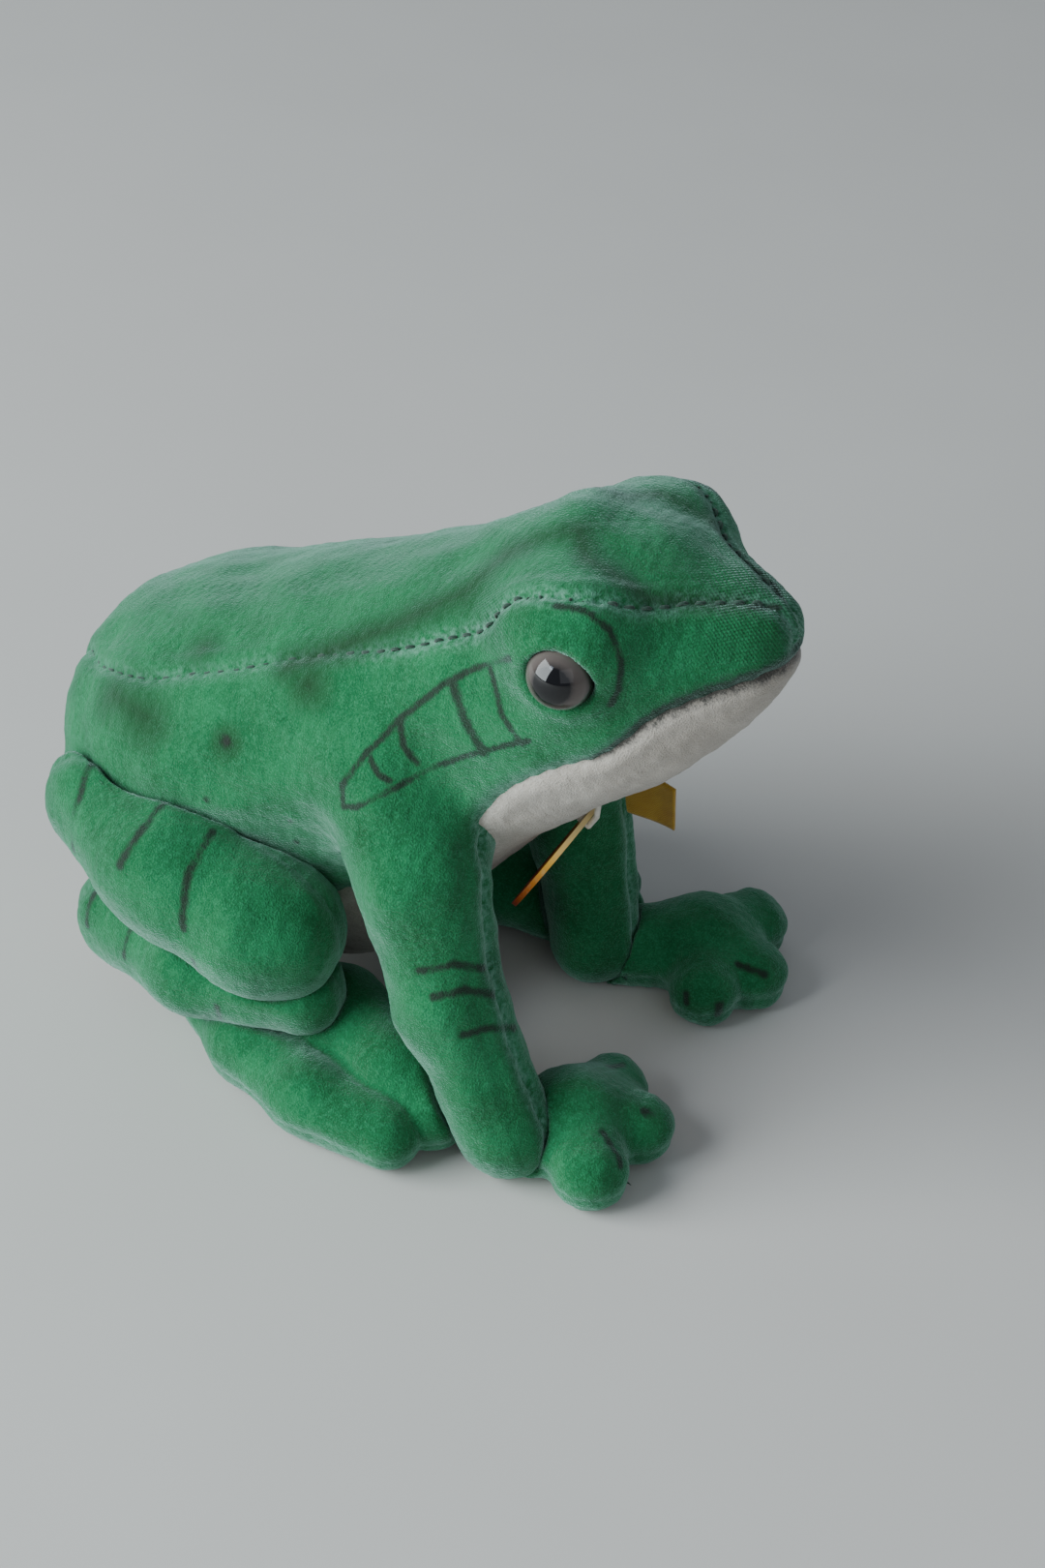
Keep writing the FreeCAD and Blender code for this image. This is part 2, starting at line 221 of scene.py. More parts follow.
def skin_of(form, low, high, step, halvings):
    """Quads over the surface of a form: a grid's cells that the surface crosses, halved and eased."""
    axes = [np.arange(a, b + step, step) for a, b in zip(low, high)]
    shape = tuple(len(a) for a in axes)
    points = np.stack(np.meshgrid(*axes, indexing="ij"), -1).reshape(-1, 3)
    inside = unpinched((form(points) < 0).reshape(shape))
    corners = [(i, j, k) for i in (0, 1) for j in (0, 1) for k in (0, 1)]
    count = sum(inside[i:shape[0] - 1 + i, j:shape[1] - 1 + j, k:shape[2] - 1 + k].astype(np.int8)
                for i, j, k in corners)
    cells = np.argwhere((count > 0) & (count < 8))
    number = -np.ones(count.shape, np.int64)
    number[tuple(cells.T)] = np.arange(len(cells))
    verts = np.array(low) + (cells + 0.5) * step
    quads = []
    for axis in range(3):
        first, second = [(1, 2), (2, 0), (0, 1)][axis]
        a = [slice(1, -1)] * 3
        b = [slice(1, -1)] * 3
        a[axis], b[axis] = slice(0, -1), slice(1, None)
        here, there = inside[tuple(a)], inside[tuple(b)]
        base = np.argwhere(here != there)
        facing = here[tuple(base.T)]
        base[:, first] += 1
        base[:, second] += 1
        ring = []
        for da, db in ((-1, -1), (0, -1), (0, 0), (-1, 0)):
            cell = base.copy()
            cell[:, first] += da
            cell[:, second] += db
            ring.append(number[tuple(cell.T)])
        q = np.stack(ring, 1)
        q[~facing] = q[~facing][:, ::-1]
        quads.append(q)
    quads = np.concatenate(quads)
    for turn in range(4):
        verts = eased(onto(form, verts, 1), quads, 0.6)
    verts = onto(form, verts)
    for turn in range(halvings):
        sides_of = np.sort(np.stack([quads, np.roll(quads, -1, 1)], -1).reshape(-1, 2), axis=1)
        edges, which = np.unique(sides_of, axis=0, return_inverse=True)
        which = which.reshape(-1, 4) + len(verts)
        centre = len(verts) + len(edges) + np.arange(len(quads))
        verts = np.concatenate([verts, verts[edges].mean(1), verts[quads].mean(1)])
        quads = np.concatenate([np.stack([quads[:, k], which[:, k], centre, which[:, k - 1]], 1)
                                for k in range(4)])
        verts = onto(form, eased(verts, quads, 0.5))
    return verts, (quads, [])


def part_along(verts, faces, side_of):
    """Parts a skin along a seam. Returns the points, the faces on the + and - sides, and how many
    points there were before the seam's own were added."""
    quads, odd = faces
    before = len(verts)
    value = side_of(verts)
    value[np.abs(value) < 1e-4] = 1e-4
    above = (value[quads] > 0).sum(1)
    new, seen = [], {}
    plus, minus = [], []
    crossed = [tuple(q) for q in quads[(above > 0) & (above < 4)]]
    for face in crossed + odd:
        signs = [value[i] > 0 for i in face]
        if all(signs):
            plus.append(face)
        elif not any(signs):
            minus.append(face)
        else:
            kept = {True: [], False: []}
            for i, j in zip(face, face[1:] + face[:1]):
                kept[value[i] > 0].append(i)
                if (value[i] > 0) != (value[j] > 0):
                    key = (min(i, j), max(i, j))
                    if key not in seen:
                        t = value[key[0]] / (value[key[0]] - value[key[1]])
                        seen[key] = before + len(new)
                        new.append(verts[key[0]] * (1 - t) + verts[key[1]] * t)
                    kept[True].append(seen[key])
                    kept[False].append(seen[key])
            plus.append(tuple(kept[True]))
            minus.append(tuple(kept[False]))
    if new:
        verts = np.concatenate([verts, np.array(new)])
    plus = (quads[above == 4], [f for f in plus if len(f) > 2])
    minus = (quads[above == 0], [f for f in minus if len(f) > 2])
    return verts, plus, minus, before


def outward(verts, groups):
    """Directions out of a skin at its points, over all the pieces it was parted into."""
    total = np.zeros_like(verts)
    for quads, odd in groups:
        n = np.cross(verts[quads[:, 2]] - verts[quads[:, 0]], verts[quads[:, 3]] - verts[quads[:, 1]])
        for k in range(4):
            np.add.at(total, quads[:, k], n)
        for f in odd:
            n = np.cross(verts[f[1]] - verts[f[0]], verts[f[-1]] - verts[f[0]])
            total[list(f)] += n
    return total / np.maximum(np.linalg.norm(total, axis=1), 1e-9)[:, None]


seam_reach = 6.0                        # beyond this a seam no longer shows
stitch_pitch = 2.0


def seam_distance(verts, seam):
    """How far each point lies from the nearest of the seam's points, up to the seam's reach."""
    far = np.full(len(verts), seam_reach)
    if len(seam):
        tree = KDTree(len(seam))
        for k, p in enumerate(seam):
            tree.insert(p, k)
        tree.balance()
        for k, p in enumerate(verts):
            far[k] = min(seam_reach, tree.find(p)[2])
    return far


def lumps(p, size, seed):
    """Smooth unevenness between -1 and 1 with humps about size millimetres across."""
    dice = np.random.default_rng(seed)
    ways = dice.normal(size=(9, 3))
    ways *= (2 * math.pi / size * dice.uniform(0.6, 1.4, 9) / np.linalg.norm(ways, axis=1))[:, None]
    return np.sin(p @ ways.T + dice.uniform(0, 6.28, 9)).sum(1) / 4.2


def tucked(verts, normals, near, pull=1.0):
    """Cloth drawn in along its seams, puckered by the stitches, and uneven over the packing."""
    pucker = 0.75 + 0.25 * np.cos(2 * math.pi * verts[:, 0] / stitch_pitch)
    depth = pull * (0.5 * pucker * np.exp(-(near / 0.6) ** 2) - 0.16 * np.exp(-((near - 1.9) / 0.9) ** 2))
    rough = 0.22 * lumps(verts, 11, 1) + 0.1 * lumps(verts, 4.5, 2) + 0.05 * lumps(verts, 1.6, 3)
    return verts + normals * (rough * np.clip(near / 2, 0.2, 1) - depth)[:, None]


def add_mesh(name, verts, quads, odd, material, normals=None, attributes=None):
    """A new object from points in drawing millimetres, smooth all over."""
    mesh = bpy.data.meshes.new(name)
    loops = np.concatenate([np.asarray(quads).reshape(-1)] + [np.array(f) for f in odd]).astype(np.int32)
    sizes = np.array([4] * len(quads) + [len(f) for f in odd], np.int32)
    mesh.vertices.add(len(verts))
    mesh.vertices.foreach_set("co", ((verts + drawing_shift) * MM).astype(np.float32).ravel())
    mesh.loops.add(len(loops))
    mesh.loops.foreach_set("vertex_index", loops)
    mesh.polygons.add(len(sizes))
    mesh.polygons.foreach_set("loop_start", (np.cumsum(sizes) - sizes).astype(np.int32))
    mesh.update(calc_edges=True)
    mesh.polygons.foreach_set("use_smooth", [True] * len(sizes))
    for key, values in (attributes or {}).items():
        layer = mesh.attributes.new(key, "FLOAT", "POINT")
        layer.data.foreach_set("value", values.astype(np.float32))
    if normals is not None:
        mesh.normals_split_custom_set_from_vertices(normals.tolist())
    mesh.materials.append(material)
    obj = bpy.data.objects.new(name, mesh)
    bpy.context.scene.collection.objects.link(obj)
    return obj


def fasten(obj, body, slot, *nodes):
    """What every piece says: the body it moves with and the plain solids it stands for. slot is not used."""
    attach(obj, body)
    if nodes:
        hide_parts(*nodes)
    return obj


def cover(name, verts, normals, faces, body, slot, material, paint, thick=cloth):
    """A piece of cloth with its own thickness, from some of a skin's faces."""
    quads, odd = faces
    used = np.unique(np.concatenate([quads.ravel()] + [np.array(f) for f in odd]).astype(int))
    place = np.full(len(verts), -1)
    place[used] = np.arange(len(used))
    quads = place[quads]
    odd = [tuple(place[list(f)]) for f in odd]
    outer = verts[used]
    n = normals[used]
    count = len(outer)
    edges = np.concatenate([np.stack([quads, np.roll(quads, -1, 1)], -1).reshape(-1, 2)]
                           + [np.stack([np.array(f), np.roll(np.array(f), -1)], -1) for f in odd])
    known = set(map(tuple, edges.tolist()))
    rim = np.array([e for e in edges.tolist() if (e[1], e[0]) not in known]).reshape(-1, 2)
    walls = np.stack([rim[:, 1], rim[:, 0], rim[:, 0] + count, rim[:, 1] + count], 1)
    all_quads = np.concatenate([quads, quads[:, ::-1] + count, walls])
    all_odd = odd + [tuple(i + count for i in reversed(f)) for f in odd]
    attributes = {key: np.tile(values[used], 2) for key, values in paint.items()}
    obj = add_mesh(name, np.concatenate([outer, outer - n * thick]), all_quads, all_odd, material,
                   np.concatenate([n, -n]), attributes)
    fasten(obj, body, slot, name)
    return obj


# ---- Velvet ---------------------------------------------------------------------------------------
# Short cotton velvet, green for back, flanks and limbs and cream for chin and belly. The nap lies in
# patches, is worn to the woven backing along seams and nose, and carries sprayed and brushed marks.
class Reading:
    """A value in a finish's nodes. Sums on it add the nodes that work them out."""

    def __init__(self, tree, socket=None):
        self.tree = tree
        self.socket = socket

    def node(self, kind, settings=None, inputs=None, out=0):
        """Any other node: its type, its settings, and the values or links of its sockets."""
        made = self.tree.nodes.new("ShaderNode" + kind)
        for key, value in (settings or {}).items():
            if key == "stops":
                for place, (at, colour) in enumerate(value):
                    stops = made.color_ramp.elements
                    stop = stops[place] if place < len(stops) else stops.new(at)
                    stop.position = at
                    stop.color = (*colour, 1)
            else:
                setattr(made, key, value)
        for key, value in (inputs or {}).items():
            if isinstance(value, Reading):
                self.tree.links.new(value.socket, made.inputs[key])
            else:
                made.inputs[key].default_value = value
        return Reading(self.tree, made.outputs[out])

    def maths(self, operation, *terms):
        return self.node("Math", {"operation": operation}, dict(enumerate(terms)))

    def __add__(self, other):
        return self.maths("ADD", self, other)

    def __sub__(self, other):
        return self.maths("SUBTRACT", self, other)

    def __rsub__(self, other):
        return self.maths("SUBTRACT", other, self)

    def __mul__(self, other):
        return self.maths("MULTIPLY", self, other)

    __radd__ = __add__
    __rmul__ = __mul__

    def held(self):
        """The value kept between 0 and 1."""
        return self.node("Clamp", inputs={0: self})

    def mix(self, share, one, two):
        """A colour between two, by a share that is a value."""
        return self.node("Mix", {"data_type": "RGBA"}, {0: share, 6: one, 7: two}, out=2)

    def noise(self, size, detail=2.0):
        """Unevenness from 0 to 1 with spots about size millimetres across."""
        at = self.node("TexCoord", out=3)
        return self.node("TexNoise", {}, {"Vector": at, "Scale": 1 / (size * MM), "Detail": detail})

    def painted(self, name):
        """A value that the cloth's points carry."""
        return self.node("Attribute", {"attribute_name": name}, out=2)


def finish_of(name, **values):
    """A new finish: its material, its shader and a reading to start sums from."""
    material = bpy.data.materials.new(name)
    material.use_nodes = True
    shader = material.node_tree.nodes["Principled BSDF"]
    for key, value in values.items():
        shader.inputs[key.replace("_", " ")].default_value = value
    return material, shader, Reading(material.node_tree)


def link(shader, **sockets):
    for key, value in sockets.items():
        value.tree.links.new(value.socket, shader.inputs[key.replace("_", " ")])


def velvet(name, deep, mid, pale, worn, sheen):
    material, shader, read = finish_of(name, Roughness=0.95, Sheen_Weight=0.6, Sheen_Roughness=0.4,
                                       Sheen_Tint=(*sheen, 1), Specular_IOR_Level=0.15)
    patches, clumps, pile = read.noise(7, 3), read.noise(0.65, 3), read.noise(0.2, 2)
    at = read.node("TexCoord", out=3)
    parts = [read.node("SeparateXYZ", {}, {0: at}, out=k) for k in range(3)]
    rib = 2 * math.pi / (0.62 * MM)
    waves = [read.maths("SINE", parts[0] * rib), read.maths("SINE", (parts[1] + parts[2]) * rib)]
    weave = ((waves[0] * waves[1]) * 0.5 + 0.5).held()
    wear = (read.painted("near_seam") * ((clumps - 0.35) * 2.6)).held()
    bare = ((read.painted("bare") + patches - 0.75) * 2).held()
    colour = read.mix(((patches - 0.3) * 2.2).held(), (*deep, 1), (*mid, 1))
    colour = read.mix(((clumps - 0.45) * 2).held() * 0.3, colour, (*pale, 1))
    colour = read.mix(((pile - 0.5) * 3).held() * 0.5, colour, (*pale, 1))
    colour = read.mix(((0.42 - pile) * 4).held() * 0.6, colour, (*[c * 0.35 for c in deep], 1))
    colour = read.mix(bare * (0.6 - weave * 0.6), colour, (*[c * 0.5 for c in deep], 1))
    colour = read.mix(wear * 0.6, colour, (*worn, 1))
    ragged = (clumps - 0.5) * 1.1 + (pile - 0.5) * 0.8
    sprayed = ((read.painted("sprayed") - 0.75) * 0.8 + ragged * 0.35).held()
    brushed = ((read.painted("brushed") - 1.08) * 1.7 + ragged * 1.5).held()
    colour = read.mix(sprayed * 0.72, colour, (0.012, 0.022, 0.008, 1))
    colour = read.mix(brushed * 0.86, colour, (0.009, 0.01, 0.008, 1))
    height = clumps * 0.3 + pile * 0.55 + weave * (bare * 0.35)
    bump = read.node("Bump", {}, {"Strength": 0.75, "Distance": 0.45 * MM, "Height": height})
    link(shader, Base_Color=colour, Roughness=0.98 - brushed * 0.35, Normal=bump)
    return material


green = velvet("green_velvet", (0.006, 0.085, 0.025), (0.015, 0.165, 0.058), (0.05, 0.33, 0.16),
               (0.22, 0.42, 0.34), (0.62, 0.95, 0.85))
cream = velvet("cream_velvet", (0.36, 0.32, 0.27), (0.5, 0.45, 0.39), (0.66, 0.61, 0.56),
               (0.62, 0.58, 0.52), (0.9, 0.88, 0.85))


# ---- Painted marks --------------------------------------------------------------------------------
# Dark olive sprayed through a soft stencil along the back and as blots on the flanks; black brushed
# lines for mouth, nostrils, brow, the leaf shape behind the eye, and the bars on arms and legs.
# each mark is a run of points on the cloth and the mark's half width
sprayed_marks = [([(-7, -15, 54.7), (4, -12, 61.8), (12.2, -9.7, 68.4)], 2.6),
                 ([(12.2, -9.7, 68.4), (15.4, -7, 72.4)], 3.2),
                 ([(15.4, -7, 72.4), (23.1, -4.6, 76.8)], 2.4),
                 ([(23.1, -4.6, 76.8), (26.1, -8.2, 76), (33.2, -8.4, 73.9)], 1.9),
                 ([(33.2, -8.4, 73.9), (42, -3, 73.5)], 1.4), ([(-19.5, -13.1, 51.7)], 3.0),
                 ([(-3.2, -16.4, 54.2)], 3.4), ([(-24, -18.9, 44), (-29, -16, 43)], 4.2),
                 ([(-12.1, -19.9, 45.5)], 2.2)]
brow_line = [(26.2, -15.2, 74.3), (29.1, -14.5, 74.3), (32.1, -14.1, 72.7), (33.8, -14.4, 69.3),
             (33.8, -14.6, 66), (33, -14.8, 64)]
leaf_outline = [(22.1, -16.8, 67.2), (17.2, -15, 63.3), (13.5, -15.5, 60.1), (8.8, -17, 54.6),
                (6, -19.2, 50.4), (3.8, -20.9, 46.1), (4.1, -21.3, 43.5), (6, -21.3, 44.3),
                (10.2, -19, 47.5), (14.4, -16.7, 50.5), (18.3, -16.4, 53.4), (24.2, -16.2, 56.9)]
brushed_marks = [([(-12.1, -19.9, 45.5)], 1.1), ([(-13.8, -21.6, 37.8)], 0.7),
                 ([(-3.8, -19.8, 37.4)], 0.65), ([(-3.8, -18.5, 33.6)], 0.65),
                 ([(42.8, -2.6, 73), (45, -0.8, 72.6)], 0.75), (brow_line, 0.65), (leaf_outline, 0.62),
                 ([(14.5, -15.5, 60.5), (16.9, -16.4, 56.4), (18.9, -16.3, 53.6)], 0.95),
                 ([(18.8, -15.4, 63.9), (20.7, -16.2, 59.2), (23.5, -16.2, 56.2)], 0.65),
                 ([(8.9, -17.1, 54.3), (9.7, -17.8, 51.7), (11.4, -17.7, 50)], 0.62),
                 ([(6.5, -19.4, 49.9), (7.7, -19.7, 48.4), (9, -19.4, 47.9)], 0.6)]
arm_bars = [([(16.4, -25.1, 28), (19.8, -22.9, 29), (22, -20.1, 27.3)], 0.75),
            ([(18.5, -25.3, 25.3), (21.2, -23.1, 26), (23.5, -20, 24)], 0.8),
            ([(22.3, -25.1, 21.2), (24.2, -22.6, 21.3), (25.3, -18.4, 18.8)], 0.75)]
belly_line = [(60, 72), (nose_x, 66.9), (43.8, 65.6), (40, 63.9), (36.5, 61.5), (34, 58.5), (31.5, 56),
              (29, 54.6), (26, 52.6), (21.5, 48.5), (18.5, 44), (16.5, 39.5), (8, 32), (0, 25), (-20, 17),
              (-60, 14)]


def mark_field(p, form, marks):
    """2 at the middle of a mark, 1 at its edge, 0 one half-width beyond."""
    field = np.zeros(len(p))
    for points, half in marks:
        line = onto(form, points)
        for a, b in zip(line, line[1:] if len(line) > 1 else line):
            way = b - a
            t = np.clip((p - a) @ way / max(way @ way, 1e-6), 0, 1)
            away = np.linalg.norm(p - a - t[:, None] * way, axis=1)
            field = np.maximum(field, 2 - away / half)
    return np.clip(field, 0, 2)


rub_width = 1.1                         # worn strip on each side of a seam


def body_paint(p, near):
    """The values that the body's cloth carries to its finish."""
    q = p * (1, -1, 1)
    marks = brushed_marks + arm_bars
    mouth_gap = (p[:, 2] - along(p[:, 0], belly_line) - 0.35) * 0.75
    mouth_half = np.clip(0.6 + (p[:, 0] - 30) * 0.14, 0.45, 1.35) * np.clip((p[:, 0] - 28) / 4, 0.01, 1)
    mouth = np.clip(2 - np.abs(mouth_gap) / mouth_half, 0, 2)
    brushed = np.maximum(mark_field(p, body_form, marks), mark_field(q, body_form, marks))
    sprayed = np.maximum(mark_field(p, body_form, sprayed_marks), mark_field(q, body_form, sprayed_marks))
    nose_wear = np.exp(-(np.linalg.norm(p - (43, 0, 72), axis=1) / 9) ** 2)
    crown_wear = np.exp(-(np.linalg.norm((p - (20, -13, 69)) / (9, 5, 4), axis=1)) ** 2)
    rubbed = np.interp(p[:, 0], [-5, 12], [0.45, 1])
    return {"brushed": np.maximum(brushed, mouth), "sprayed": sprayed,
            "near_seam": rubbed * np.exp(-(near / rub_width) ** 2),
            "bare": np.maximum(nose_wear, 0.9 * crown_wear)}


# ---- Trunk covers ---------------------------------------------------------------------------------
# A strip along the back, two flanks that run down into the outer halves of the arms, a cream panel
# from chin to belly and two inner arm pieces, sewn inside out, turned, and stuffed through the belly.
strip_half_width = [(50, 0.8), (44, 1.5), (41, 3.2), (36, 6.8), (32, 11), (28.5, 13.6), (25, 14.4), (20, 14),
                    (15, 13.3), (6, 13.6), (-7, 14.3), (-19, 15.6), (-28, 15.5), (-35, 12.5), (-40, 8),
                    (-47, 3)]
trunk_skin = 0.6                        # how far off the trunk's own form its cloth may still be
throat = 52


def in_strip(p):
    low_edge = 20 + 0.45 * (p[:, 0] + 60)
    return np.minimum(along(p[:, 0], strip_half_width) - np.abs(p[:, 1]), p[:, 2] - low_edge)


def arm_inside(side):
    """Positive on the inner half of an arm, off the trunk and below the throat."""
    def test(p):
        q = mirrored(p, side)
        run = [(z, y) for x, y, z, r in arm_run(side)]
        inner = q[:, 1] - along(q[:, 2], run)
        off_trunk = trunk_form(p) - trunk_skin
        return np.minimum(np.minimum(inner, off_trunk), np.minimum(3 - q[:, 1], throat - p[:, 2]))
    return test


def cream_side(p):
    return np.minimum(along(p[:, 0], belly_line) - p[:, 2], trunk_skin - trunk_form(p))


verts, faces = skin_of(body_form, (-47, -31, -2), (52, 31, 81), body_cell, rounds)
verts, strip_faces, rest, first_seam = part_along(verts, faces, in_strip)
inner_arms = {}
back_seam_end = len(verts)
for side in sides:
    verts, inner_arms[side], rest, start = part_along(verts, rest, arm_inside(side))
verts, belly_faces, flanks, start = part_along(verts, rest, cream_side)
seam_end = len(verts)
verts, left_flank, right_flank, start = part_along(verts, flanks, lambda p: p[:, 1])
groups = [strip_faces, belly_faces, left_flank, right_flank] + list(inner_arms.values())
near = seam_distance(verts, verts[first_seam:seam_end])
paint = body_paint(verts, near)
verts = tucked(verts, outward(verts, groups), near)
verts[:, 2] = np.maximum(verts[:, 2], floor_gap)
normals = outward(verts, groups)
back_seam_lay = normals[first_seam:back_seam_end]
back_seam = verts[first_seam:back_seam_end]
cover("back_panel", verts, normals, strip_faces, "torso", "green_velvet", green, paint)
cover("belly_panel", verts, normals, belly_faces, "torso", "cream_velvet", cream, paint)
for side, flank in (("right", right_flank), ("left", left_flank)):
    cover("side_panel_" + side, verts, normals, flank, "torso", "green_velvet", green, paint)
    cover("arm_inner_" + side, verts, normals, inner_arms[side], "torso", "green_velvet", green, paint)


# ---- Stuffing -------------------------------------------------------------------------------------
# Fine wood wool and cotton waste, rammed into each cover through its last open seam. It holds the
# shape; nothing of it shows unless a seam is opened.
material, shader, read = finish_of("stuffing", Roughness=1.0)
strands = read.noise(1.2, 4)
link(shader, Base_Color=read.mix(strands, (0.3, 0.22, 0.12, 1), (0.62, 0.5, 0.32, 1)),
     Normal=read.node("Bump", {}, {"Strength": 0.8, "Distance": 0.6 * MM, "Height": strands}))
packing = material


def packed(name, form, low, high, body):
    """A body of packing just inside its cover."""
    inner = lambda p: form(p) + cloth + 0.35
    v, f = skin_of(inner, low, high, 2.0, 1)
    n = outward(v, [f])
    v = v + n * (0.12 * lumps(v, 2.6, 5) - 0.1)[:, None]
    fasten(add_mesh(name, v, f[0], f[1], packing), body, "stuffing", name)


def torso_core(p):
    d = head_and_trunk(p)
    for side in sides:
        q = mirrored(p, side)
        d = cut_back(d, eye_pocket(q), pocket_fillet)
        d = cut_back(d, tube(q, [(24, -14, 65.5, 0.9), (20, -9, 64.5, 0.9)]), 0.2)
    return d


packed("body_stuffing", torso_core, (-47, -25, 0), (52, 25, 80), "torso")
for side, s in sides.items():
    near_y, far_y = sorted((s * 3, s * 30))
    packed("arm_stuffing_" + side,
           lambda p: cut_back(tube(mirrored(p, side), arm_run(side)), head_and_trunk(p) + 1.0, 0.5),
           (0, near_y, -2), (36, far_y, 54), "torso")


# ---- Hands ----------------------------------------------------------------------------------------
# Two-piece mitts with three blunt fingers, stuffed flat, closed round the rim and sewn to the ends
# of the arms. Both are sewn on a little askew, so they point to the frog's left.
palms = {"right": (31.5, 14.5), "left": (30, 22.5)}
hand_turn = {"right": 0, "left": -20}
fingers = [(-48, 8.2, 4.5), (28, 7.4, 4.4), (83, 8.2, 4.3)]       # direction, reach, radius
sole_seam = 3.2


def hand_form(side):
    px, py = palms[side]
    middle = (px, -py, 4.8, 5.6)
    runs = []
    for degrees, reach, radius in fingers:
        a = math.radians(degrees + hand_turn[side])
        runs.append([middle, (px + reach * math.cos(a), -py + reach * math.sin(a), 3.9, radius)])
    runs.append([middle, (arm_end[side][0], -arm_end[side][1], 4.6, 4.8)])

    def form(p):
        q = mirrored(p, side)
        d = None
        for run in runs:
            t = tube(q, run)
            d = t if d is None else joined(d, t, 1.8)
        d = cut_back(d, q[:, 2], 0.8)
        return cut_back(d, tube(q, arm_run(side)) - 0.1, 0.7)
    return form


def limb_paint(p, form, side, near, bars):
    q = mirrored(p, side)
    as_right = lambda r: form(mirrored(r, side))
    return {"brushed": mark_field(q, as_right, bars),
            "sprayed": mark_field(q, as_right, [(mark, 2.2 * half) for mark, half in bars]) * 0.5,
            "near_seam": 0.3 * np.exp(-(near / rub_width) ** 2), "bare": np.zeros(len(p))}


def stuffed_limb(names, form, low, high, step, seam, body, side, bars, core_name):
    """Two covers sewn round their packing."""
    v, f = skin_of(form, low, high, step, rounds)
    v, one, two, start = part_along(v, f, seam)
    near = seam_distance(v, v[start:])
    values = limb_paint(v, form, side, near, bars)
    v = tucked(v, outward(v, [one, two]), near, 0.4)
    v[:, 2] = np.maximum(v[:, 2], floor_gap)
    n = outward(v, [one, two])
    for name, some in zip(names, (one, two)):
        cover(name, v, n, some, body, "green_velvet", green, values)
    packed(core_name, form, low, high, body)
    return v[start:], n[start:]


hand_bars = [([(38.5, -11.5, 5.5), (40, -10.5, 3.6)], 0.9), ([(36.5, -18.5, 7), (38.5, -20.5, 5)], 0.7),
             ([(32.5, -8.5, 7.5), (33, -6.5, 6)], 0.7)]
for side, s in sides.items():
    px, py = palms[side]
    stuffed_limb(("hand_top_" + side, "hand_sole_" + side), hand_form(side), (px - 15, s * py - 17, -2),
                 (px + 16, s * py + 17, 12), hand_cell, lambda p: p[:, 2] - sole_seam, "torso", side,
                 hand_bars, "hand_stuffing_" + side)


# ---- Hind legs ------------------------------------------------------------------------------------
# Thigh and lower leg are stuffed tubes folded at the knee and stitched to the hip; the big foot is
# a two-piece flipper of two lobes sewn on below. They lie close to the trunk and give at the hip.
thigh_run = [(-30, -17, 29, 8.3), (-18, -21.5, 27, 9.2), (-7, -22, 23.8, 8.6), (-4.5, -21.8, 23, 8.2)]
shin_run = [(-2, -21, 14.5, 5.5), (-16, -22, 13, 5.8), (-29, -17, 12, 6.2)]
foot_outer = [(-20, -15, 5, 4.6), (-8, -22, 5, 5.2), (3, -26.5, 4.6, 4.7), (14, -27.5, 4.2, 4.2)]
foot_inner = [(-12, -15, 7, 5), (1, -16.5, 8.2, 5.8), (11, -19.5, 7, 5.6), (16.5, -22, 5, 4.8)]
thigh_bars = [([(-30, -20, 36), (-29.7, -24.3, 33.7), (-30, -26.5, 27)], 0.75),
              ([(-18.5, -21, 36.5), (-19.2, -27.4, 34.6), (-20.2, -30, 31.2)], 0.85),
              ([(-12.5, -23, 34), (-12.1, -28.1, 32.1), (-11.7, -29.9, 28.9), (-11.5, -30.7, 25.9)], 0.75),
              ([(-10.3, -30.6, 22.1), (-10, -29.5, 20)], 0.6)]
shin_bars = [([(-31.5, -18.5, 18), (-31.1, -20.8, 16.4), (-31, -23, 13)], 0.7),
             ([(-23, -22, 18), (-23.4, -23.5, 17), (-24, -26, 13)], 0.7),
             ([(-9.6, -25, 16), (-9.3, -27.2, 13), (-9.3, -27, 10)], 0.65)]


hip = np.array([-31, -17.5, 0])
hip_swing = math.radians(15)
air = 0.6                               # between the legs and what they lie against


def swung(p, side):
    """Where a leg's points stand once it has swung out as far as its stitches let it."""
    q = mirrored(p, side) - hip
    q = np.stack([q[:, 0] * math.cos(hip_swing) + q[:, 1] * math.sin(hip_swing),
                  q[:, 1] * math.cos(hip_swing) - q[:, 0] * math.sin(hip_swing), q[:, 2]], 1)
    return mirrored(q + hip, side)


def clear_of_torso(d, p, side):
    """Flattened where it presses on the trunk, with air between, both folded in and swung out."""
    d = cut_back(d, body_form(p) - air, 0.6)
    d = cut_back(d, trunk_form(swung(p, side)) - air - 0.1, 0.6)
    return cut_back(d, hand_form(side)(p) - air, 0.6)


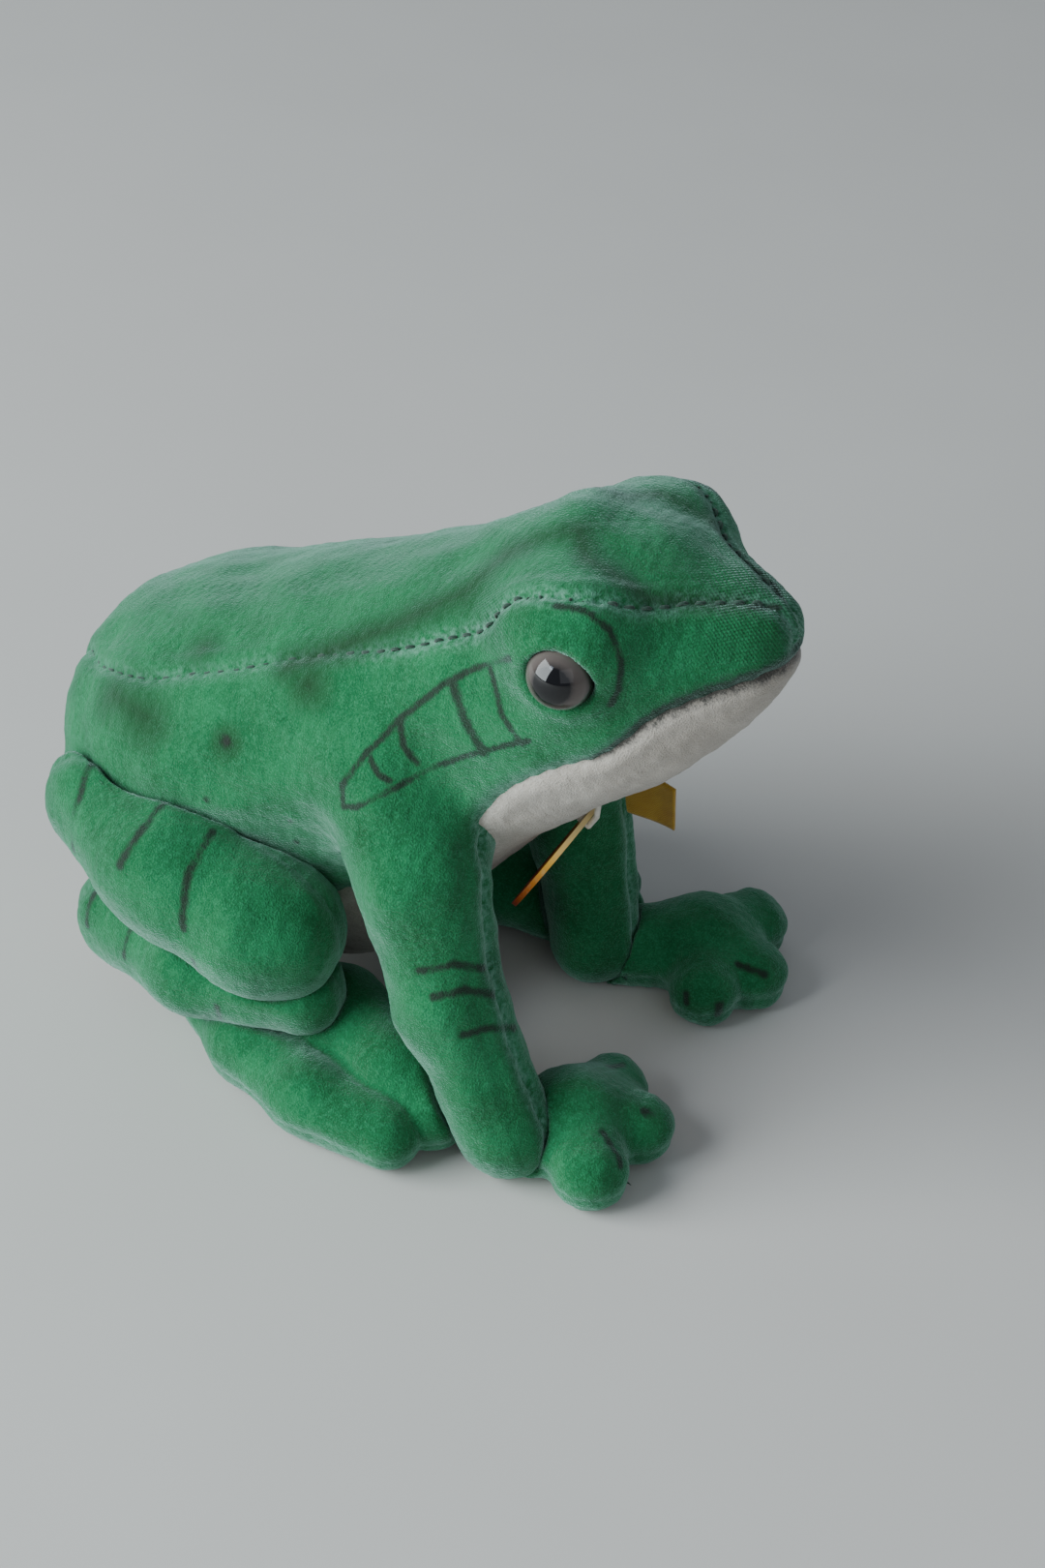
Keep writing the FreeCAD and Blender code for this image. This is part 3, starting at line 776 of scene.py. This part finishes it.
for side, s in sides.items():
    body = "hind_leg_" + side

    def thigh(p):
        return clear_of_torso(tube(mirrored(p, side), thigh_run), p, side)

    def shin(p):
        q = mirrored(p, side)
        return clear_of_torso(cut_back(tube(q, shin_run), tube(q, thigh_run) - 0.1, 0.8), p, side)

    def foot(p):
        q = mirrored(p, side)
        d = joined(tube(q, foot_outer), tube(q, foot_inner), 0.5)
        d = cut_back(d, q[:, 2], 0.8)
        d = cut_back(d, joined(tube(q, shin_run), tube(q, thigh_run), 0.5) - 0.1, 0.8)
        return clear_of_torso(d, p, side)

    near_y, far_y = sorted((s * 5, s * 35))
    for part, form, top, which, seam, bars in (
            ("thigh", thigh, 42, ("outer", "inner"), lambda p: -(mirrored(p, side)[:, 1] + 20.5),
             thigh_bars),
            ("shin", shin, 22, ("outer", "inner"), lambda p: -(mirrored(p, side)[:, 1] + 20), shin_bars),
            ("foot", foot, 18, ("top", "sole"), lambda p: p[:, 2] - sole_seam, [])):
        names = [f"{part}_{w}_{side}" for w in which]
        stuffed_limb(names, form, (-48, near_y, -2), (27, far_y, top), body_cell, seam, body, side, bars,
                     f"{part}_stuffing_{side}")


# ---- Eyes -----------------------------------------------------------------------------------------
# Glass domes, back-painted with a grey-brown ring and a black pupil, on wire loops tied together by
# one strong thread through the head. The dome's finish carries the paint seen through it, under a
# clear coat, so the ring and the pupil behind it stay hidden.
eye_faces = np.array([0.15, 0.97, 0.15]) / np.linalg.norm([0.15, 0.97, 0.15])
glass, shader, read = finish_of("eye_glass", Coat_Weight=1.0, Coat_Roughness=0.03, Coat_IOR=1.5,
                                Roughness=0.6, Specular_IOR_Level=0.0)
from_axis = read.painted("from_axis")
grain = (read.noise(0.5, 3) - 0.5) * 0.12
bands = [(0.0, (0.003, 0.003, 0.004)), (0.53, (0.004, 0.004, 0.005)), (0.57, (0.03, 0.026, 0.025)),
         (0.7, (0.09, 0.073, 0.066)), (0.86, (0.12, 0.1, 0.09)), (0.94, (0.035, 0.03, 0.028)),
         (1.0, (0.008, 0.008, 0.008))]
colours = read.node("ValToRGB", {"stops": bands}, {0: from_axis + grain * (1 - from_axis)})
link(shader, Base_Color=colours, Coat_Weight=1 - read.noise(0.9) * 0.1)
iris, shader, read = finish_of("eye_iris", Roughness=0.5)
rays = read.noise(0.5, 3)
link(shader, Base_Color=read.mix(rays, (0.09, 0.07, 0.06, 1), (0.24, 0.2, 0.17, 1)))
pupil, shader, read = finish_of("eye_pupil", Roughness=0.35)
link(shader, Base_Color=read.mix(read.noise(0.4), (0.002, 0.002, 0.003, 1), (0.008, 0.008, 0.01, 1)))


def turned(name, profile, at, way, material, segments=64):
    """A turned piece: a closed profile of (radius, height) swung round an axis."""
    way = way / np.linalg.norm(way)
    side_way = np.cross(way, (0, 0, 1))
    side_way /= np.linalg.norm(side_way)
    other = np.cross(way, side_way)
    turn = np.linspace(0, 2 * math.pi, segments, endpoint=False)
    circle = np.cos(turn)[:, None] * side_way + np.sin(turn)[:, None] * other
    rings = [at + circle * r + way * h for r, h in profile]
    quads = []
    for k in range(len(profile) - 1):
        for j in range(segments):
            quads.append((k * segments + j, k * segments + (j + 1) % segments,
                          (k + 1) * segments + (j + 1) % segments, (k + 1) * segments + j))
    last = (len(profile) - 1) * segments
    caps = [tuple(reversed(range(segments))), tuple(range(last, last + segments))]
    out = np.repeat([r for r, h in profile], segments)
    return add_mesh(name, np.concatenate(rings), np.array(quads), caps, material,
                    attributes={"from_axis": out / out.max()})


for side, s in sides.items():
    at = np.array(eye_at) * (1, s, 1)
    way = eye_faces * (1, s, 1)
    dome = [(eye_radius * math.cos(a), eye_radius * math.sin(a)) for a in np.linspace(-0.1, 1.55, 40)]
    dome = [(2.4, -0.36), (3.5, -0.38)] + dome
    fasten(turned("eye_glass_" + side, dome, at, way, glass), "torso", "eye_glass", "eye_glass_" + side)
    ring = [(1.95, -0.75), (3.2, -0.75), (3.3, -0.6), (3.3, -0.42), (1.95, -0.42), (1.95, -0.75)]
    fasten(turned("eye_iris_" + side, ring, at, way, iris), "torso", "iris_paint", "eye_iris_" + side)
    dot = [(0.4, -0.75), (1.8, -0.75), (1.9, -0.6), (1.9, -0.42), (0.4, -0.42)]
    fasten(turned("eye_pupil_" + side, dot, at, way, pupil), "torso", "pupil_paint", "eye_pupil_" + side)


# ---- Threads --------------------------------------------------------------------------------------
# Dark green cotton for the seams, seen as short stitches in the worn seam of the back strip; a
# ladder of stitches closes the belly, and a few turns of doubled thread hold each leg at the hip.
thread, shader, read = finish_of("green_thread", Roughness=0.8, Sheen_Weight=0.3)
twist = read.noise(0.3)
link(shader, Base_Color=read.mix(twist, (0.003, 0.02, 0.012, 1), (0.012, 0.06, 0.035, 1)),
     Normal=read.node("Bump", {}, {"Strength": 0.6, "Distance": 0.1 * MM, "Height": twist}))


def strand(path, radius, segments=7):
    """Points and quads of a round thread along a path, closed to a point at each end."""
    path = np.array(path, float)
    ways = np.gradient(path, axis=0)
    ways /= np.linalg.norm(ways, axis=1)[:, None]
    across = np.cross(ways, (0.31, 0.2, 0.93))
    across /= np.linalg.norm(across, axis=1)[:, None]
    other = np.cross(ways, across)
    turn = np.linspace(0, 2 * math.pi, segments, endpoint=False)
    size = radius * np.clip(np.minimum(np.arange(len(path)), np.arange(len(path))[::-1]) * 0.9 + 0.25, 0, 1)
    circle = np.cos(turn)[None, :, None] * across[:, None] + np.sin(turn)[None, :, None] * other[:, None]
    verts = (path[:, None] + size[:, None, None] * circle).reshape(-1, 3)
    quads = [(k * segments + j, k * segments + (j + 1) % segments, (k + 1) * segments + (j + 1) % segments,
              (k + 1) * segments + j) for k in range(len(path) - 1) for j in range(segments)]
    last = (len(path) - 1) * segments
    return verts, quads, [tuple(reversed(range(segments))), tuple(range(last, last + segments))]


def threads(name, paths, radius, material, body, slot):
    """One piece made of several short threads."""
    verts, quads, caps, count = [], [], [], 0
    for path in paths:
        v, q, c = strand(path, radius)
        verts.append(v)
        quads += [tuple(i + count for i in f) for f in q]
        caps += [tuple(i + count for i in f) for f in c]
        count += len(v)
    obj = add_mesh(name, np.concatenate(verts), np.array(quads), caps, material)
    return fasten(obj, body, slot, name)


def row_of_stitches(line, lay, pitch, lift, sunk_behind=None):
    """Short arched stitches along a line of points that lies on the cloth; the pile swallows those
    that lie behind a level."""
    gone = np.concatenate([[0], np.cumsum(np.linalg.norm(np.diff(line, axis=0), axis=1))])
    paths = []
    for k in range(int(gone[-1] / pitch)):
        marks = (k + np.linspace(0.18, 0.82, 7)) * pitch
        p = np.stack([np.interp(marks, gone, line[:, c]) for c in range(3)], 1)
        n = np.stack([np.interp(marks, gone, lay[:, c]) for c in range(3)], 1)
        arch = np.sin(np.linspace(0, math.pi, 7))
        if sunk_behind is not None:
            arch = arch * np.interp(p[:, 0], [sunk_behind - 5, sunk_behind + 3], [0.2, 1])
        paths.append(p + n * (lift * arch - 0.15)[:, None])
    return paths


for side, s in sides.items():
    mine = (back_seam[:, 1] * s > 0.6) & (np.abs(back_seam[:, 0]) < 44) & (in_strip(back_seam) > -0.3)
    order = np.argsort(back_seam[mine][:, 0])
    line, lay = back_seam[mine][order], back_seam_lay[mine][order]
    spread = np.linspace(0, len(line) - 1, 90).astype(int)
    threads("back_seam_thread_" + side, row_of_stitches(line[spread], lay[spread], stitch_pitch, 0.5, 5),
            0.17, thread, "torso", "green_thread")

seat = onto(body_form, [(x, 0, along(x, trunk_stations, 1)) for x in np.linspace(-25, -5, 40)])
down = np.tile([0, 0, -1.0], (len(seat), 1))
rungs = row_of_stitches(seat, down, 2.2, 0.5)
rungs = [r + (0, 0.7 * math.sin(2.2 * k), 0) for k, r in enumerate(rungs)]
threads("closing_stitch", rungs, 0.22, thread, "torso", "green_thread")
for side, s in sides.items():
    low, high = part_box("hip_stitch_" + side)
    ends = [np.array(v) / MM - drawing_shift for v in (low, high)]
    middle = (ends[0] + ends[1]) / 2
    turns = np.linspace(0, 1, 24)
    bundle = []
    for k in range(3):
        spin = turns * 5 + k * 2.1
        run = ends[0][1] + (ends[1][1] - ends[0][1]) * turns
        bundle.append(np.stack([middle[0] + 0.4 * np.cos(spin), run, middle[2] + 0.4 * np.sin(spin)], 1))
    threads("hip_stitch_" + side, bundle, 0.3, thread, "hind_leg_" + side, "green_thread")


# ---- Label, swing tag and white thread ------------------------------------------------------------
# A folded mustard ribbon caught in the left arm's front seam, with no mark on it. The tag is a disc
# of card printed from yellow down to red, darkened at its bottom as painted shade, worn at its edge,
# hung from the throat by a cotton loop.
ribbon, shader, read = finish_of("mustard_cloth", Roughness=0.85, Sheen_Weight=0.25)
at = read.node("TexCoord", out=3)
parts = [read.node("SeparateXYZ", {}, {0: at}, out=k) for k in range(3)]
threads_per = 2 * math.pi / (0.35 * MM)
warp = read.maths("SINE", parts[0] * threads_per) * read.maths("SINE", parts[2] * threads_per)
soil = read.noise(2.5, 3)
soiled = (soil * 1.2 - warp * 0.2).held()
link(shader, Base_Color=read.mix(soiled, (0.62, 0.4, 0.04, 1), (0.42, 0.22, 0.02, 1)),
     Normal=read.node("Bump", {}, {"Strength": 0.5, "Distance": 0.1 * MM, "Height": warp}))
low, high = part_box("arm_label")
low, high = (np.array(v) / MM - drawing_shift for v in (low, high))
across, tall = 22, 20
grid = []
for half in (1, -1):
    for i in range(across):
        for j in range(tall):
            u, v = i / (across - 1), j / (tall - 1)
            bend = 0.5 * math.sin(2.6 * u + 1.5 * v) * u
            edge = 0.5 * (high[1] - low[1]) * (0.9 if 0 < j < tall - 1 else 0.6)
            grid.append((low[0] + (high[0] - low[0]) * u, (low[1] + high[1]) / 2 + bend + half * edge,
                         low[2] + (high[2] - low[2]) * v - 0.5 * u * u))
quads = []
size = across * tall
for i in range(across - 1):
    for j in range(tall - 1):
        a = i * tall + j
        quads.append((a, a + tall, a + tall + 1, a + 1)[::-1])
        quads.append((a + size, a + tall + size, a + tall + 1 + size, a + 1 + size))
for i in range(across - 1):
    for j, flip in ((0, 1), (tall - 1, -1)):
        a, b = i * tall + j, (i + 1) * tall + j
        quads.append((a, b, b + size, a + size)[::flip])
for j in range(tall - 1):
    for i, flip in ((0, -1), (across - 1, 1)):
        a, b = i * tall + j, i * tall + j + 1
        quads.append((a, b, b + size, a + size)[::flip])
label = add_mesh("arm_label", np.array(grid), np.array(quads), [], ribbon)
fasten(label, "torso", "mustard_cloth", "arm_label")

card, shader, read = finish_of("tag_card", Roughness=0.6)
low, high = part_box("tag_disc")
height = read.node("SeparateXYZ", {}, {0: read.node("TexCoord", out=3)}, out=2)
# colour by height on the disc: the yellow to red is print, the darker red at the bottom is painted shade
risen = (height - low.z) * (1 / (high.z - low.z)) + (read.noise(1.5) - 0.5) * 0.08
bands = [(0.0, (0.16, 0.02, 0.01)), (0.25, (0.5, 0.05, 0.01)), (0.5, (0.8, 0.2, 0.02)),
         (0.75, (0.85, 0.45, 0.04)), (1.0, (0.85, 0.66, 0.3))]
colours = read.node("ValToRGB", {"stops": bands}, {0: risen.held()})
link(shader, Base_Color=read.mix((read.noise(0.6, 4) - 0.55).held() * 1.5, colours, (0.75, 0.6, 0.42, 1)),
     Roughness=0.55 + read.noise(1.0) * 0.25)
cotton, shader, read = finish_of("white_thread", Roughness=0.85)
twist = read.noise(0.35, 3)
link(shader, Base_Color=read.mix(twist, (0.5, 0.47, 0.4, 1), (0.8, 0.77, 0.7, 1)),
     Normal=read.node("Bump", {}, {"Strength": 0.7, "Distance": 0.1 * MM, "Height": twist}))
wire, shader, read = finish_of("wire", Metallic=1.0)
tarnish = read.noise(0.6, 3)
link(shader, Base_Color=read.mix(tarnish, (0.42, 0.4, 0.36, 1), (0.2, 0.15, 0.1, 1)),
     Roughness=0.3 + tarnish * 0.4)
for node, material in (("tag_disc", card), ("tag_thread", cotton), ("eye_thread", cotton),
                       ("eye_wire_right", wire), ("eye_wire_left", wire)):
    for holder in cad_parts[node].material_slots:
        holder.material = material


# ---- Studio ---------------------------------------------------------------------------------------
# A plain pale floor, a broad soft window light low on the frog's tail side towards the camera, a
# small bluish pane that the eyes mirror, and a weak fill from the nose side.
paper, shader, read = finish_of("floor_paper", Roughness=0.9)
link(shader, Base_Color=read.mix(read.noise(40), (0.6, 0.58, 0.55, 1), (0.64, 0.62, 0.59, 1)))
ground = bpy.data.meshes.new("floor")
ground.from_pydata([(-3, -3, 0), (3, -3, 0), (3, 3, 0), (-3, 3, 0)], [], [(0, 1, 2, 3)])
ground.materials.append(paper)
floor = bpy.data.objects.new("floor", ground)
bpy.context.scene.collection.objects.link(floor)

world = bpy.data.worlds.new("studio")
bpy.context.scene.world = world
world.use_nodes = True
world.node_tree.nodes["Background"].inputs["Color"].default_value = (0.72, 0.8, 0.9, 1)
world.node_tree.nodes["Background"].inputs["Strength"].default_value = 0.31


def window_light(name, place, size, watts, colour):
    lamp = bpy.data.lights.new(name, "AREA")
    lamp.shape = "RECTANGLE"
    lamp.size, lamp.size_y = size
    lamp.energy = watts
    lamp.color = colour
    obj = bpy.data.objects.new(name, lamp)
    obj.location = place
    obj.rotation_euler = (Vector((0, 0, 0.03)) - Vector(place)).to_track_quat("-Z", "Y").to_euler()
    bpy.context.scene.collection.objects.link(obj)


window_light("window", (-0.5, -0.55, 0.36), (0.7, 0.7), 15.0, (0.88, 0.97, 1.0))
window_light("pane", (-0.2, -0.55, 0.6), (0.16, 0.14), 0.35, (0.7, 0.82, 1.0))
window_light("fill", (0.5, -0.5, 0.4), (0.6, 0.6), 0.7, (0.9, 0.95, 1.0))

lens = bpy.data.cameras.new("camera")
lens.sensor_width = 36
lens.lens = 71.6
lens.clip_start = 0.01
camera = bpy.data.objects.new("camera", lens)
bpy.context.scene.collection.objects.link(camera)
azimuth, height, roll, distance = math.radians(27.5), math.radians(36.0), math.radians(2.6), 367.0
back = np.array([math.sin(azimuth) * math.cos(height), -math.cos(azimuth) * math.cos(height),
                 math.sin(height)])
right = np.array([math.cos(azimuth), math.sin(azimuth), 0])
up = np.cross(back, right)
across = math.cos(roll) * right + math.sin(roll) * up
upward = -math.sin(roll) * right + math.cos(roll) * up
target = np.array([0, 0, 35.0]) + 13.5 * across - 2.5 * upward
stand = (target + distance * back + drawing_shift) * MM
camera.matrix_world = Matrix([(across[k], upward[k], back[k], stand[k]) for k in range(3)] + [(0, 0, 0, 1)])
bpy.context.scene.camera = camera

bpy.context.view_layer.update()
